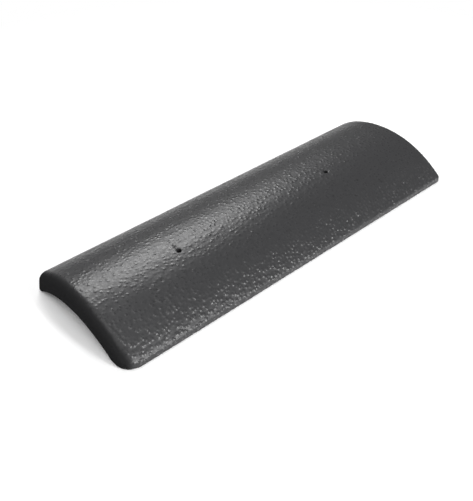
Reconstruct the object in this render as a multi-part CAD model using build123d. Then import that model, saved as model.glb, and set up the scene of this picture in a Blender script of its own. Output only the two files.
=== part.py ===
from build123d import *
from math import cos, radians, sin, sqrt
import os

# A wall abutment ridge tile: one piece of cast concrete, arched across its width.
# X runs along the tile, +Y points to the long side that goes against the wall, Z is up.
# The tile lies as it does on a floor, with both long sides touching it.
# The origin is on the floor, at the middle of the footprint.

# Driving sizes, in millimetres and degrees
length = 450.0
outer_radius = 129.0
thickness = 19.0
crown_height = 38.0

# The long side against the wall is a tall face, leaning in above a narrow land on the floor
wall_lean = 20.0
wall_land = 7.0

# The long side away from the wall has a flat bed under it and ends in a low upright nose
nose_height = 6.0

# Rounding of the edge all round the crown, and easing of the outline on the floor
rim_radius = 4.0
arris_radius = 1.5

# Rounding of the corners as seen from above, where each long side has one full corner
# The other two corners are larger than the rim's rounding by a margin
full_wall_corner = 14.0
full_nose_corner = 17.0
small_corner_margin = 1.0

# Two nail holes in a row along the tile, measured from its middle and from the crown line
nail_hole_diameter = 4.5
nail_hole_spacing = 208.0
nail_hole_shift = -8.0
nail_hole_offset = 16.0

# Where the arcs and faces of the section meet, with the arcs centred below the floor
inner_radius = outer_radius - thickness
arc_depth = outer_radius - crown_height
bed_reach = sqrt(inner_radius**2 - arc_depth**2)
wall_reach = bed_reach + wall_land
nose_reach = sqrt(outer_radius**2 - (arc_depth + nose_height)**2)
small_corner = rim_radius + small_corner_margin

# How closely a point has to lie on a surface to count as part of it
touching = 0.01


def wall_face_top():
    """Point of the section where the leaning wall face meets the outer arc."""
    lean = radians(wall_lean)
    along = arc_depth * cos(lean) - wall_reach * sin(lean)
    rise = sqrt(along**2 + outer_radius**2 - wall_reach**2 - arc_depth**2) - along
    return (wall_reach - rise * sin(lean), rise * cos(lean))


def arched_bar():
    """The section carried along the whole length, with every edge still sharp."""
    wall_top = wall_face_top()
    wall_foot = (wall_reach, 0)
    wall_heel = (bed_reach, 0)
    bed_heel = (-bed_reach, 0)
    toe = (-nose_reach, 0)
    nose_top = (-nose_reach, nose_height)
    with BuildSketch(Plane.YZ) as section:
        with BuildLine():
            ThreePointArc(nose_top, (0, crown_height), wall_top)
            Line(wall_top, wall_foot)
            Line(wall_foot, wall_heel)
            ThreePointArc(wall_heel, (0, crown_height - thickness), bed_heel)
            Line(bed_heel, toe)
            Line(toe, nose_top)
        make_face()
    return extrude(section.sketch, length / 2, both=True)


def corner_waste(end, side, reach, radius, lean):
    """What comes off one corner, seen from above, to round it along a face with this lean."""
    tall = 4 * crown_height
    block = Pos(end * length / 2, 0) * Box(2 * radius, 2 * radius, tall)
    post = Pos(end * (length / 2 - radius), -side * radius) * Cylinder(radius, tall)
    return Pos(0, side * reach, 0) * Rot(lean, 0, 0) * (block - post)


def samples(edge):
    return [edge @ share for share in (0, 0.5, 1)]


def on_arc(edge, radius):
    """True for an edge that lies on the round surface of this radius."""
    return all(abs(sqrt(p.Y**2 + (p.Z + arc_depth)**2) - radius) < touching for p in samples(edge))


def on_floor(edge):
    return all(abs(p.Z) < touching for p in samples(edge))


def ridge_tile():
    tile = arched_bar()
    tile -= corner_waste(-1, -1, nose_reach, full_nose_corner, 0)
    tile -= corner_waste(1, -1, nose_reach, small_corner, 0)
    tile -= corner_waste(1, 1, wall_reach, full_wall_corner, wall_lean)
    tile -= corner_waste(-1, 1, wall_reach, small_corner, wall_lean)

    # The crown's edge is one smooth loop over both long sides, both ends and all four corners
    tile = tile.solid().fillet(rim_radius, [edge for edge in tile.edges() if on_arc(edge, outer_radius)])

    # The outline on the floor is eased too, and the edges of the hollow stay sharp
    outline = [edge for edge in tile.edges() if on_floor(edge) and not on_arc(edge, inner_radius)]
    tile = tile.fillet(arris_radius, outline)

    for end in (-1, 1):
        hole_place = Pos(nail_hole_shift + end * nail_hole_spacing / 2, -nail_hole_offset)
        tile -= hole_place * Cylinder(nail_hole_diameter / 2, 4 * crown_height)
    return Pos(0, -tile.bounding_box().center().Y, 0) * tile


os.makedirs("parts", exist_ok=True)
tile = ridge_tile()
export_step(tile, "parts/ridge_tile.step")
print("ridge_tile", tile.bounding_box(), "volume", round(tile.volume), "mm3")
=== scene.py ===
# %% [markdown]
# # A coated concrete ridge tile for a wall abutment
# The real object is one casting: an arched bar of dark concrete with a glossy granular coating on its
# outside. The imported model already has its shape, its rounded rim and its two nail holes.
# This script dresses that shape. It takes a fine copy of the casting, works the relief of the coating into
# the copy, gives it a finish, and photographs it on a pale floor in soft light.

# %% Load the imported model
import bmesh
import bpy
from math import radians
from mathutils import Matrix, Vector


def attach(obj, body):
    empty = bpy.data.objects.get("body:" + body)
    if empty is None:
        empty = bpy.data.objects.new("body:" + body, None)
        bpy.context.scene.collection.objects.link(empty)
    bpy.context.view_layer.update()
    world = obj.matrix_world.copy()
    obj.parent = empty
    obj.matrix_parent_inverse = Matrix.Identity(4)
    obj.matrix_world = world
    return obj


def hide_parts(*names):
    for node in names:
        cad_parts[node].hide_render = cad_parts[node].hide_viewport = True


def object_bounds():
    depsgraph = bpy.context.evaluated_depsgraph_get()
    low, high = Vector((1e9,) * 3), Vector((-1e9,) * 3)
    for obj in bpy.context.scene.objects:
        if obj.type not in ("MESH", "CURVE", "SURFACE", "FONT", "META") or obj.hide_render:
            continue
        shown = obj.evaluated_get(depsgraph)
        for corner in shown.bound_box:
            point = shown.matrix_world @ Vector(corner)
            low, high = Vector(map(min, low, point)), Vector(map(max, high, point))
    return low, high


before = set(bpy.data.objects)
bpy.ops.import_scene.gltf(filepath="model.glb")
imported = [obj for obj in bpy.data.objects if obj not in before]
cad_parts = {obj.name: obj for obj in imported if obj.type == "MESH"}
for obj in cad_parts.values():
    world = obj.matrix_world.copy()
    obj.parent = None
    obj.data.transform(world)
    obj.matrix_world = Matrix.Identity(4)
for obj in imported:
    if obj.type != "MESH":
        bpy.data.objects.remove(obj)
cad_low, cad_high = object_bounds()


def rounded(values):
    return tuple(round(value, 4) for value in values)


print("packed model from", rounded(cad_low), "to", rounded(cad_high))

# %% [markdown]
# ## Sizes that the dressing needs
# The tile's section is drawn with two arcs round one axis, which runs along the tile below the floor. The
# dressing only has to know that axis, the outer arc, the thickness between the two arcs and the length. The
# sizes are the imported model's, in millimetres.

# %% Sizes of the casting
MM = 0.001
tile_length = 450.0
thickness = 19.0
outer_radius = 129.0
arc_depth = 91.0
crown_y = 8.443
near_end_x = cad_low.x / MM
print("the arc's axis is", arc_depth, "mm below the floor and", crown_y, "mm off the middle")

# %% [markdown]
# ## Maths on nodes
# Both the relief and the finish are built from node trees. Adding Math nodes by hand makes long scripts, so a
# small class wraps an output socket and lets ordinary sums on it add the nodes. Any other kind of node comes
# from one method, which sets the node's own settings first and its sockets second.

# %% A field that can be used in sums
class Field:
    """An output socket in a node tree that takes part in sums like a number."""

    def __init__(self, tree, socket):
        self.tree = tree
        self.socket = socket

    def node(self, kind, settings=None, sockets=None, output=0):
        """Adds a node of any kind to the tree and returns one of its outputs as a field."""
        made = self.tree.nodes.new(kind)
        for name, value in (settings or {}).items():
            setattr(made, name, value)
        for name, value in (sockets or {}).items():
            if isinstance(value, Field):
                self.tree.links.new(value.socket, made.inputs[name])
            else:
                made.inputs[name].default_value = value
        return Field(self.tree, made.outputs[output])

    def math(self, operation, *values):
        settings = {"operation": operation}
        return self.node("ShaderNodeMath", settings, dict(enumerate(values)))

    def __add__(self, other):
        return self.math("ADD", self, other)

    def __radd__(self, other):
        return self.math("ADD", other, self)

    def __sub__(self, other):
        return self.math("SUBTRACT", self, other)

    def __rsub__(self, other):
        return self.math("SUBTRACT", other, self)

    def __mul__(self, other):
        return self.math("MULTIPLY", self, other)

    def __rmul__(self, other):
        return self.math("MULTIPLY", other, self)

    def __truediv__(self, other):
        return self.math("DIVIDE", self, other)

    def __rtruediv__(self, other):
        return self.math("DIVIDE", other, self)

    def __pow__(self, other):
        return self.math("POWER", self, other)

    def __abs__(self):
        return self.math("ABSOLUTE", self)

    def at_least(self, other):
        return self.math("MAXIMUM", self, other)

    def at_most(self, other):
        return self.math("MINIMUM", self, other)

    def ramp(self, start, end):
        """0 at start, 1 at end and smooth between them, whichever of the two is larger."""
        settings = {"interpolation_type": "SMOOTHSTEP"}
        sockets = {"Value": self, "From Min": start, "From Max": end}
        return self.node("ShaderNodeMapRange", settings, sockets, "Result")

    def band(self, start, full, fade, end):
        """Rises from start to full, and falls from fade to end."""
        return self.ramp(start, full) * self.ramp(end, fade)

    def parts(self):
        """The x, y and z of a vector field."""
        split = self.node("ShaderNodeSeparateXYZ", None, {"Vector": self}).socket.node
        return [Field(self.tree, output) for output in split.outputs]

    def vector(self, x, y, z):
        return self.node("ShaderNodeCombineXYZ", None, {"X": x, "Y": y, "Z": z})

    def scaled(self, factor):
        settings = {"operation": "SCALE"}
        return self.node("ShaderNodeVectorMath", settings, {"Vector": self, "Scale": factor})

    def noise(self, size, detail=2.0, roughness=0.5, distortion=0.0):
        """Cloudy noise around 0, between about -0.5 and 0.5, with lumps of this size."""
        sockets = {"Vector": self, "Scale": 1 / size, "Detail": detail, "Roughness": roughness,
                   "Distortion": distortion}
        return self.node("ShaderNodeTexNoise", None, sockets) - 0.5

    def cells(self):
        """Distance to the nearest of many points scattered over x and y, and a random share for each."""
        settings = {"voronoi_dimensions": "2D"}
        distance = self.node("ShaderNodeTexVoronoi", settings, {"Vector": self, "Scale": 1.0}, "Distance")
        colour = Field(self.tree, distance.socket.node.outputs["Color"])
        return distance, colour.parts()[0]


# %% [markdown]
# ## Places round the arc
# Anything that follows the curved back can be placed by three numbers: how far along the tile from its near
# end, how far round the arc from the crown line, and how deep below the back. Round the arc, the nose side
# counts as negative.

# %% Places round the arc
def around_the_arc(place):
    """How far along, round the arc and below the back a place is, in millimetres."""
    x, y, z = place.parts()
    off_y = y - crown_y
    off_z = z + arc_depth
    radius = (off_y * off_y + off_z * off_z) ** 0.5
    across = off_y.math("ARCTAN2", off_y, off_z) * outer_radius
    return x - near_end_x, across, outer_radius - radius


# %% [markdown]
# ## Granules of the coating
# The slurry on the real tile sets as separate low granules, some of them much bolder than others. They could
# be scattered in space, but then the curved back would slice through them. Here the coated skin is unrolled
# flat first and scattered with cells, so the granules keep one size over the crown and round both long edges.
# The relief and the finish call the same functions, so each granule's gloss lies on its own bump.
# The granules show most along the nose, and most of all round its rim, where the slurry has run down.

# %% Granules on the unrolled skin
grain_size = 4.2
grain_spread = 0.56
grain_height = 0.15
lowest_grain, grain_variety = 0.25, 1.3
bold_chance, bold_extra = (0.88, 0.96), 0.5
clump_size = 11.0
fold_width = 40.0


def unrolled(along, across, below):
    """The coated skin laid out flat, with the sides of the tile folded out from its back."""
    side = (across / fold_width).at_least(-1.0).at_most(1.0)
    return along.vector(along, across + below * side, 0.0)


def granules(skin, size):
    """How far each granule of the coating stands up: 1 on an average top and 0 between them."""
    to_middle, chance = skin.scaled(1.0 / size).cells()
    standing = chance * grain_variety + lowest_grain + chance.ramp(*bold_chance) * bold_extra
    return to_middle.ramp(grain_spread, 0.0) * standing


# %% How strongly the granules show
nose_side, nose_rim = (-55.0, -72.0), (-88.0, -93.0)
on_back, more_by_nose, more_on_rim = 0.62, 0.6, 0.5


def liveliness(across):
    """How strongly the granules show round the arc: they stand up most along the nose and its rim."""
    return across.ramp(*nose_side) * more_by_nose + across.ramp(*nose_rim) * more_on_rim + on_back


print("granules are about", grain_size, "mm apart, and an average one is", grain_height, "mm high")

# %% [markdown]
# ## A fine copy of the casting
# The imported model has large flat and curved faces, which can't carry relief. A voxel remesh covers the same
# solid with small, even squares, and leaves the edges as slightly worn as those of cast concrete. The packed
# mesh itself stays as it is: the copy is merged first, because it comes as loose triangles.

# %% Remesh the copy
voxel_size = 1.08 * MM
merge_distance = 0.001 * MM


def merged_copy(node, name):
    mesh = node.data.copy()
    shell = bmesh.new()
    shell.from_mesh(mesh)
    bmesh.ops.remove_doubles(shell, verts=shell.verts, dist=merge_distance)
    shell.to_mesh(mesh)
    shell.free()
    piece = bpy.data.objects.new(name, mesh)
    bpy.context.scene.collection.objects.link(piece)
    return piece


def count_triangles(mesh):
    mesh.calc_loop_triangles()
    return len(mesh.loop_triangles)


def settle(piece):
    """Leaves what the piece's modifiers make as its plain mesh."""
    worked = piece.evaluated_get(bpy.context.evaluated_depsgraph_get())
    mesh = bpy.data.meshes.new_from_object(worked)
    piece.modifiers.clear()
    piece.data = mesh


coated_tile = merged_copy(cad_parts["ridge_tile"], "coated_tile")
coated_tile.data.materials.clear()
remesh = coated_tile.modifiers.new("even_squares", "REMESH")
remesh.mode = "VOXEL"
remesh.voxel_size = voxel_size
settle(coated_tile)
print("the even squares make", count_triangles(coated_tile.data), "triangles")

# %% [markdown]
# ## Fewer faces where nothing shows
# Only the coated back needs such small squares. The hollow, the bed, and the end and wall faces deeper
# than the rolled rim have no relief. Decimating those alone, through a vertex group, keeps the piece light
# enough to be reused.

# %% Thin out the plain faces
face_budget = 188000
relief_depth = 11.5
floor_band = 0.3 * MM


def below_the_back(place):
    """How deep a point of the mesh lies under the tile's back, in millimetres."""
    off_y = place.y / MM - crown_y
    off_z = place.z / MM + arc_depth
    return outer_radius - (off_y**2 + off_z**2) ** 0.5


group = coated_tile.vertex_groups.new(name="plain_faces")
for vertex in coated_tile.data.vertices:
    on_floor = vertex.co.z < cad_low.z + floor_band
    if on_floor or below_the_back(vertex.co) > relief_depth:
        group.add([vertex.index], 1.0, "REPLACE")
thinning = coated_tile.modifiers.new("thinning", "DECIMATE")
thinning.ratio = face_budget / count_triangles(coated_tile.data)
thinning.vertex_group = group.name
settle(coated_tile)
coated_tile.vertex_groups.clear()
print("after thinning there are", count_triangles(coated_tile.data))

# %% [markdown]
# ## The finish
# The real coating is an anthracite slurry that dries to a satin gloss. Its colour hardly changes, and what
# the eye sees as pattern is light on relief. The material therefore has one dark grey with a faint mottle,
# a roughness that falls on the top of each granule, and a fine bump for the grain that is too small for the
# mesh. Along the nose the slurry has pooled on the granules, which a thin clear coat shows. The casting's
# underside and its near end face were never coated, so a mask that the relief stores on the mesh makes them
# matt and darker. That darker bare grey is partly painted shade: it darkens the near end face and its rolled
# rim, which get little light. The pores are painted darker as well, as painted shade in their dips.

# %% Colours and gloss of the coating and of bare concrete
coat_grey = (0.035, 0.035, 0.0364, 1.0)
coat_dark = (0.026, 0.026, 0.027, 1.0)
# Bare concrete, kept darker than the coat as painted shade on the near end face and its rim
bare_grey_and_shade = (0.023, 0.023, 0.0237, 1.0)
coat_specular, bare_specular = 0.40, 0.0
coat_roughness, grain_roughness, bare_roughness = 0.36, 0.26, 0.80
dull_patch_size, dull_patch_amount = 3.4, 0.24
pooled_side, pooled_weight, pooled_roughness = (-50.0, -72.0), 0.9, 0.34
pooled_tops = (0.2, 1.1)
fine_mottle_size, fine_mottle_amount = 2.2, 0.9
broad_mottle_size, broad_mottle_amount = 14.0, 0.5
mottle_strength, average_darkening = 0.8, 0.25
sand_size, sand_amount = 1.8, 0.3
# How far the pores take the darker bare finish, as painted shade
pore_bareness_and_shade = 0.7

# %% Material
def empty_material(name):
    """A material with an empty tree, and a field that its first nodes come from."""
    material = bpy.data.materials.new(name)
    material.use_nodes = True
    material.node_tree.nodes.clear()
    return material, Field(material.node_tree, None)


def set_surface(material, shader):
    output = material.node_tree.nodes.new("ShaderNodeOutputMaterial")
    material.node_tree.links.new(shader.socket, output.inputs["Surface"])


def coated_concrete():
    material, start = empty_material("coated_concrete")
    place = start.node("ShaderNodeTexCoord", None, None, "Object").scaled(1 / MM)
    coated = start.node("ShaderNodeAttribute", {"attribute_name": "coated"}, None, "Fac")
    pitted = start.node("ShaderNodeAttribute", {"attribute_name": "pitted"}, None, "Fac")

    # The colour, on a Mix node whose colours go in at 6 and 7 and come out at 2
    fine_mottle = place.noise(fine_mottle_size, 3.0, 0.6) * fine_mottle_amount
    mottle = fine_mottle + place.noise(broad_mottle_size) * broad_mottle_amount
    # The pores are painted darker here, as painted shade
    darker = (mottle * mottle_strength + pitted + average_darkening).at_least(0.0).at_most(1.0)
    coat = start.node("ShaderNodeMix", {"data_type": "RGBA"}, {0: darker, 6: coat_grey, 7: coat_dark}, 2)

    # The granules' bump, with sand between them
    along, across, below = around_the_arc(place)
    skin = unrolled(along, across, below)
    tops = granules(skin, grain_size)
    clumps = (skin.noise(clump_size) * 2.0 + 1.0).at_least(0.5)
    height = tops * clumps * liveliness(across) + place.noise(sand_size, 1.0) * sand_amount
    relief = {"Height": height, "Distance": grain_height * MM, "Strength": 1.0}
    bumps = start.node("ShaderNodeBump", None, relief, "Normal")

    # The gloss
    smoother = tops.at_most(1.0) * (coat_roughness - grain_roughness)
    roughness = coat_roughness - smoother + place.noise(dull_patch_size) * dull_patch_amount
    pooled = tops.ramp(*pooled_tops) * across.ramp(*pooled_side) * pooled_weight
    glossy = {"Base Color": coat, "Roughness": roughness, "Specular IOR Level": coat_specular,
              "Coat Weight": pooled, "Coat Roughness": pooled_roughness, "Normal": bumps}
    matt = {"Base Color": bare_grey_and_shade, "Roughness": bare_roughness, "Specular IOR Level": bare_specular,
            "Normal": bumps}
    coat_shader = start.node("ShaderNodeBsdfPrincipled", None, glossy)
    bare_and_shade_shader = start.node("ShaderNodeBsdfPrincipled", None, matt)
    # The bare finish paints shade on the near end face and its rim, and in the pores
    glazed = coated * (1.0 - pitted * pore_bareness_and_shade)
    both = start.node("ShaderNodeMixShader", None, {0: glazed, 1: bare_and_shade_shader, 2: coat_shader})
    set_surface(material, both)
    return material


finish = coated_concrete()
print("the coating has", len(finish.node_tree.nodes), "nodes")

# %% [markdown]
# ## The relief of the coating
# On the real tile the granules are drawn into sinuous wrinkles beside the crown, and there are a few pores.
# Sculpting this by hand would not follow a change of size, so Geometry Nodes work out a depth for every
# point from where it lies on the arc, and press the point in along its normal. Nothing is pushed out, so
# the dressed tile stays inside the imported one. Each helper below adds the nodes for one feature.

# %% Sizes of the relief
# The tree's inputs, in millimetres
relief_sizes = {"Near Roll": 11.0, "Undulation": 0.30, "Grain Size": grain_size, "Grain Height": grain_height,
                "Wrinkle Height": 0.22, "Crinkle Height": 0.20, "Pore Radius": 2.3, "Pore Depth": 0.7}
relief_seed = 7
# Where the wrinkles and the crinkles rise, are full, fade and end
wrinkles_across, wrinkles_along = (-40.0, -26.0, -10.0, 2.0), (25.0, 70.0, 190.0, 260.0)
crinkles_across, crinkles_along = (-26.0, -12.0, 22.0, 40.0), (150.0, 230.0, 380.0, 440.0)
# Where the pores are, along the tile from the near end and across from the crown line
pore_places = [(113.0, -10.8), (67.8, -42.0), (67.4, -53.2), (58.4, -50.4), (77.6, -36.4), (342.0, -45.0),
               (367.6, -56.0), (367.9, -58.8), (300.0, -47.3), (325.6, -58.4)]
print(len(pore_places), "pores are", relief_sizes["Pore Radius"], "mm in radius")


# %% Points for the pores
def pore_points():
    """The middles of the pores, as loose points on the tile's back."""
    points = []
    for along, off_y in pore_places:
        height = (outer_radius**2 - off_y**2) ** 0.5 - arc_depth
        points.append((Vector((along + near_end_x, off_y + crown_y, height))) * MM)
    mesh = bpy.data.meshes.new("pores")
    mesh.from_pydata(points, [], [])
    holder = bpy.data.objects.new("pores", mesh)
    bpy.context.scene.collection.objects.link(holder)
    return holder


pores = pore_points()

# %% [markdown]
# The near end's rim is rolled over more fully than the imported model's. What lies outside the larger circle
# is drawn on to it, and never lower than the floor.

# %% Roll of the near end's rim
def roll_over(start, roll):
    place = start.node("GeometryNodeInputPosition").scaled(1 / MM)
    x, y, z = place.parts()
    along, across, below = around_the_arc(place)
    to_end = (roll - along).at_least(0.0)
    to_back = (roll - below).at_least(0.0)
    reach = (to_end * to_end + to_back * to_back) ** 0.5
    excess = (reach - roll).at_least(0.0) / reach.at_least(0.001)
    outward = excess * to_back / (below - outer_radius)
    sinking = (outward * (z + arc_depth)).at_least(0.0 - z)
    shift = start.vector(excess * to_end, outward * (y - crown_y), sinking).scaled(MM)
    return start.node("GeometryNodeSetPosition", None, {"Geometry": start, "Offset": shift})


# %% [markdown]
# The coating covers the back and the outside, and ends raggedly at the near end. The granules stand on it
# in clumps.

# %% The coated skin and its granules
# Where the coating begins also sets how far the painted shade of the bare near end reaches onto the rim
coat_begins, coat_wobble_size, coat_wobble = (4.0, 12.5), 9.0, 2.5


def coating_mask(place, along, across, below):
    """1 on the coated skin, and 0 underneath, at the foot and on both end faces."""
    ragged = along + place.vector(along, across, below).noise(coat_wobble_size) * coat_wobble
    height = place.parts()[2]
    outside = below.ramp(thickness - 0.6, thickness - 2.5) * height.ramp(0.2, 1.2)
    return outside * ragged.ramp(*coat_begins) * along.ramp(tile_length - 0.4, tile_length - 1.4)


def granule_relief(sheet, skin, across, size, height):
    clumps = (sheet.noise(clump_size) * 1.6 + 0.9).at_least(0.25).at_most(1.3)
    return (2.0 - granules(skin, size)) * (height * liveliness(across) * clumps)


# %% [markdown]
# The wrinkles are narrow grooves where a noise crosses zero, drawn out along the tile. The crinkles are a
# plain noise that is drawn out across it and leans. The pores are round dips about loose points.

# %% Wrinkles, crinkles and pores
wrinkle_width, wrinkle_stretch = 3.2, 5.0
crinkle_width, crinkle_stretch, crinkle_lean = 2.6, 3.2, 0.35


def wrinkle_relief(along, across, below, height):
    flow = along.vector(along / wrinkle_stretch, across, below).noise(wrinkle_width, 1.5, 0.5, 0.6)
    wrinkled = across.band(*wrinkles_across) * along.band(*wrinkles_along)
    return (1.0 - abs(flow) * 2.0).at_least(0.0) * height * wrinkled


def crinkle_relief(along, across, below, height):
    drawn_out = along.vector(along - across * crinkle_lean, across / crinkle_stretch, below)
    crinkled = across.band(*crinkles_across) * along.band(*crinkles_along)
    return (drawn_out.noise(crinkle_width, 1.5, 0.5, 0.4) + 0.5) * height * crinkled


def pore_mask(start, holder, radius):
    """1 in the middle of each pore and 0 outside it."""
    points = start.node("GeometryNodeObjectInfo", None, {"Object": holder}, "Geometry")
    nearest = start.node("GeometryNodeProximity", {"target_element": "POINTS"}, {0: points}, "Distance")
    return (nearest / MM).ramp(radius, 0.0)


# %% Geometry Nodes that press the relief in
undulation_size = 55.0
seed_step = 31.0
back_fades = (8.0, 5.0)


def relief_tree():
    tree = bpy.data.node_groups.new("coating_relief", "GeometryNodeTree")
    face = tree.interface
    face.new_socket(name="Geometry", in_out="OUTPUT", socket_type="NodeSocketGeometry")
    kinds = {"Geometry": "Geometry"} | dict.fromkeys(relief_sizes, "Float")
    kinds |= {"Pores": "Object", "Seed": "Int", "Finish": "Material"}
    for name, kind in kinds.items():
        face.new_socket(name=name, in_out="INPUT", socket_type="NodeSocket" + kind)
    inputs = tree.nodes.new("NodeGroupInput")
    outputs = tree.nodes.new("NodeGroupOutput")
    given = {socket.name: Field(tree, socket) for socket in inputs.outputs if socket.name}
    start = given["Geometry"]
    rolled = roll_over(start, given["Near Roll"])

    place = start.node("GeometryNodeInputPosition").scaled(1 / MM)
    along, across, below = around_the_arc(place)
    skin = unrolled(along, across, below)
    sheet = start.vector(along + given["Seed"] * seed_step, across, below)
    undulation = (sheet.noise(undulation_size, 1.0) + 0.5) * given["Undulation"]
    grains = granule_relief(sheet, skin, across, given["Grain Size"], given["Grain Height"])
    wrinkles = wrinkle_relief(along, across, below, given["Wrinkle Height"])
    crinkles = crinkle_relief(along, across, below, given["Crinkle Height"])
    coated = coating_mask(place, along, across, below)
    pitted = pore_mask(start, given["Pores"], given["Pore Radius"])
    on_skin = (undulation + grains + wrinkles + crinkles) * below.ramp(*back_fades) * coated
    depth = on_skin + pitted * given["Pore Depth"]
    inward = start.node("GeometryNodeInputNormal").scaled(depth * -MM)
    marked = start.node("GeometryNodeSetPosition", None, {"Geometry": rolled, "Offset": inward})

    # The masks stay on the mesh for the material, which paints shade with them on the bare end and in the
    # pores
    for name, value in {"coated": coated, "pitted": pitted}.items():
        sockets = {"Geometry": marked, "Name": name, "Value": value}
        marked = start.node("GeometryNodeStoreNamedAttribute", {"domain": "POINT"}, sockets)
    whole = start.node("GeometryNodeRealizeInstances", None, {"Geometry": marked})
    painted = start.node("GeometryNodeSetMaterial", None, {"Geometry": whole, "Material": given["Finish"]})
    tree.links.new(painted.socket, outputs.inputs[0])
    return tree


# %% Apply the relief
def with_relief(piece):
    """Runs the tree on the piece and leaves the result as its plain mesh."""
    modifier = piece.modifiers.new("coating_relief", "NODES")
    modifier.node_group = relief_tree()
    values = dict(relief_sizes, Pores=pores, Seed=relief_seed, Finish=finish)
    for item in modifier.node_group.interface.items_tree:
        if item.in_out == "INPUT" and item.name in values:
            modifier[item.identifier] = values[item.name]
    settle(piece)
    for polygon in piece.data.polygons:
        polygon.use_smooth = True


with_relief(coated_tile)
bpy.data.objects.remove(pores)
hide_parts("ridge_tile")
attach(coated_tile, "root")
print("coated_tile has", count_triangles(coated_tile.data), "triangles")

# %% [markdown]
# ## Floor and light
# The tile lies on a plain pale floor. A soft lamp behind it draws the broad gloss along the crown. In front,
# a small lamp and a low wide one catch the granules along the nose. The largest lamp hangs overhead, and
# gives the shadow that darkens towards the tile's foot. The world fills the shadows. For the camera, and in
# reflections, the floor glows a little, and further off it is plain white, so the background is white
# without more light on the tile.

# %% Floor
floor_grey = (0.95, 0.95, 0.95, 1.0)
floor_lift = 0.10
floor_half = 6.0
floor_gap = 0.02 * MM
white_from, white_by = 0.35, 0.75


def pale_floor():
    material, start = empty_material("pale_floor")
    matt = start.node("ShaderNodeBsdfDiffuse", None, {"Color": floor_grey})
    rays = {name: start.node("ShaderNodeLightPath", None, None, name)
            for name in ("Is Camera Ray", "Is Glossy Ray", "Is Transmission Ray")}
    seen = rays["Is Camera Ray"].at_least(rays["Is Glossy Ray"]).at_least(rays["Is Transmission Ray"])
    place = start.node("ShaderNodeTexCoord", None, None, "Object")
    distance = start.node("ShaderNodeVectorMath", {"operation": "LENGTH"}, {0: place}, "Value")
    lift = start.node("ShaderNodeEmission", None, {"Strength": seen * floor_lift})
    lit = start.node("ShaderNodeAddShader", None, {0: matt, 1: lift})
    white = start.node("ShaderNodeEmission", None, {"Strength": 1.0})
    far_off = seen * distance.ramp(white_from, white_by)
    above = start.node("ShaderNodeMixShader", None, {0: far_off, 1: lit, 2: white})
    behind = start.node("ShaderNodeNewGeometry", None, None, "Backfacing")
    clear = start.node("ShaderNodeBsdfTransparent")
    either = start.node("ShaderNodeMixShader", None, {0: behind, 1: above, 2: clear})
    set_surface(material, either)
    mesh = bpy.data.meshes.new("floor")
    corners = [(x * floor_half, y * floor_half, 0) for x, y in ((-1, -1), (1, -1), (1, 1), (-1, 1))]
    mesh.from_pydata(corners, [], [(0, 1, 2, 3)])
    mesh.materials.append(material)
    floor = bpy.data.objects.new("floor", mesh)
    floor.location.z = cad_low.z - floor_gap
    bpy.context.scene.collection.objects.link(floor)
    return floor


floor = pale_floor()
print("the floor is plain white", white_by, "m from the tile's middle")

# %% Lamps
target = Vector((0.0, 0.0, 0.03))


def softbox(name, direction, distance, size, power):
    """A soft lamp that faces the tile from this direction, at this distance in metres."""
    data = bpy.data.lights.new(name, "AREA")
    data.shape = "RECTANGLE"
    data.size, data.size_y = size
    data.energy = power
    lamp = bpy.data.objects.new(name, data)
    away = Vector(direction).normalized()
    lamp.location = target + away * distance
    lamp.rotation_mode = "QUATERNION"
    lamp.rotation_quaternion = away.to_track_quat("Z", "Y")
    bpy.context.scene.collection.objects.link(lamp)
    print(name, "is", size[0], "by", size[1], "m and gives", power, "W")
    return lamp


rear_softbox = softbox("rear_softbox", (0.32, 0.62, 0.72), 1.6, (0.80, 0.55), 14.0)
front_softbox = softbox("front_softbox", (0.19, -0.71, 0.55), 1.7, (0.28, 0.30), 11.5)
low_softbox = softbox("low_softbox", (0.18, -0.90, 0.25), 1.6, (0.70, 0.45), 12.0)
top_softbox = softbox("top_softbox", (-0.28, -0.08, 0.95), 1.8, (1.3, 1.3), 16.5)

# %% [markdown]
# The world is plain white to the camera. In reflections it is white only near the horizon, and higher on
# the nose side than on the wall side, so that the strip behind the crown keeps its dark tone.

# %% World
fill = 0.18
glow_height = 0.12
north_lean = 0.15

world = bpy.data.worlds.new("studio")
bpy.context.scene.world = world
world.use_nodes = True
background = world.node_tree.nodes["Background"]
start = Field(world.node_tree, None)
camera_ray = start.node("ShaderNodeLightPath", None, None, "Is Camera Ray")
glossy_ray = start.node("ShaderNodeLightPath", None, None, "Is Glossy Ray")
north, height = start.node("ShaderNodeTexCoord", None, None, "Generated").parts()[1:]
backdrop = camera_ray.at_least(glossy_ray * (height + north * north_lean).ramp(glow_height, 0.0))
strength = backdrop * (1.0 - fill) + fill
world.node_tree.links.new(strength.socket, background.inputs["Strength"])
background.inputs["Color"].default_value = (1, 1, 1, 1)
print("the world fills the shadows with a strength of", fill)

# %% [markdown]
# ## Camera
# The place, the turn and the focal length come from matching the tile's outline in the photograph: the
# camera looks down on the tile from beyond its near end, on the nose side.

# %% Camera
image_height = 501
focal_pixels = 693.87
camera_place = Vector((-0.414218, -0.436508, 0.454035))
azimuth, elevation, roll = radians(41.257), radians(38.758), radians(0.786)

camera_data = bpy.data.cameras.new("camera")
camera_data.sensor_width = 36.0
camera_data.lens = focal_pixels * camera_data.sensor_width / image_height
camera = bpy.data.objects.new("camera", camera_data)
level = Matrix.Rotation(-azimuth, 4, "Z") @ Matrix.Rotation(radians(90) - elevation, 4, "X")
camera.matrix_world = Matrix.Translation(camera_place) @ level @ Matrix.Rotation(-roll, 4, "Z")
bpy.context.scene.collection.objects.link(camera)
bpy.context.scene.camera = camera
bpy.context.scene.view_settings.view_transform = "Standard"
print("camera axes", [rounded(row[:3]) for row in camera.matrix_world])
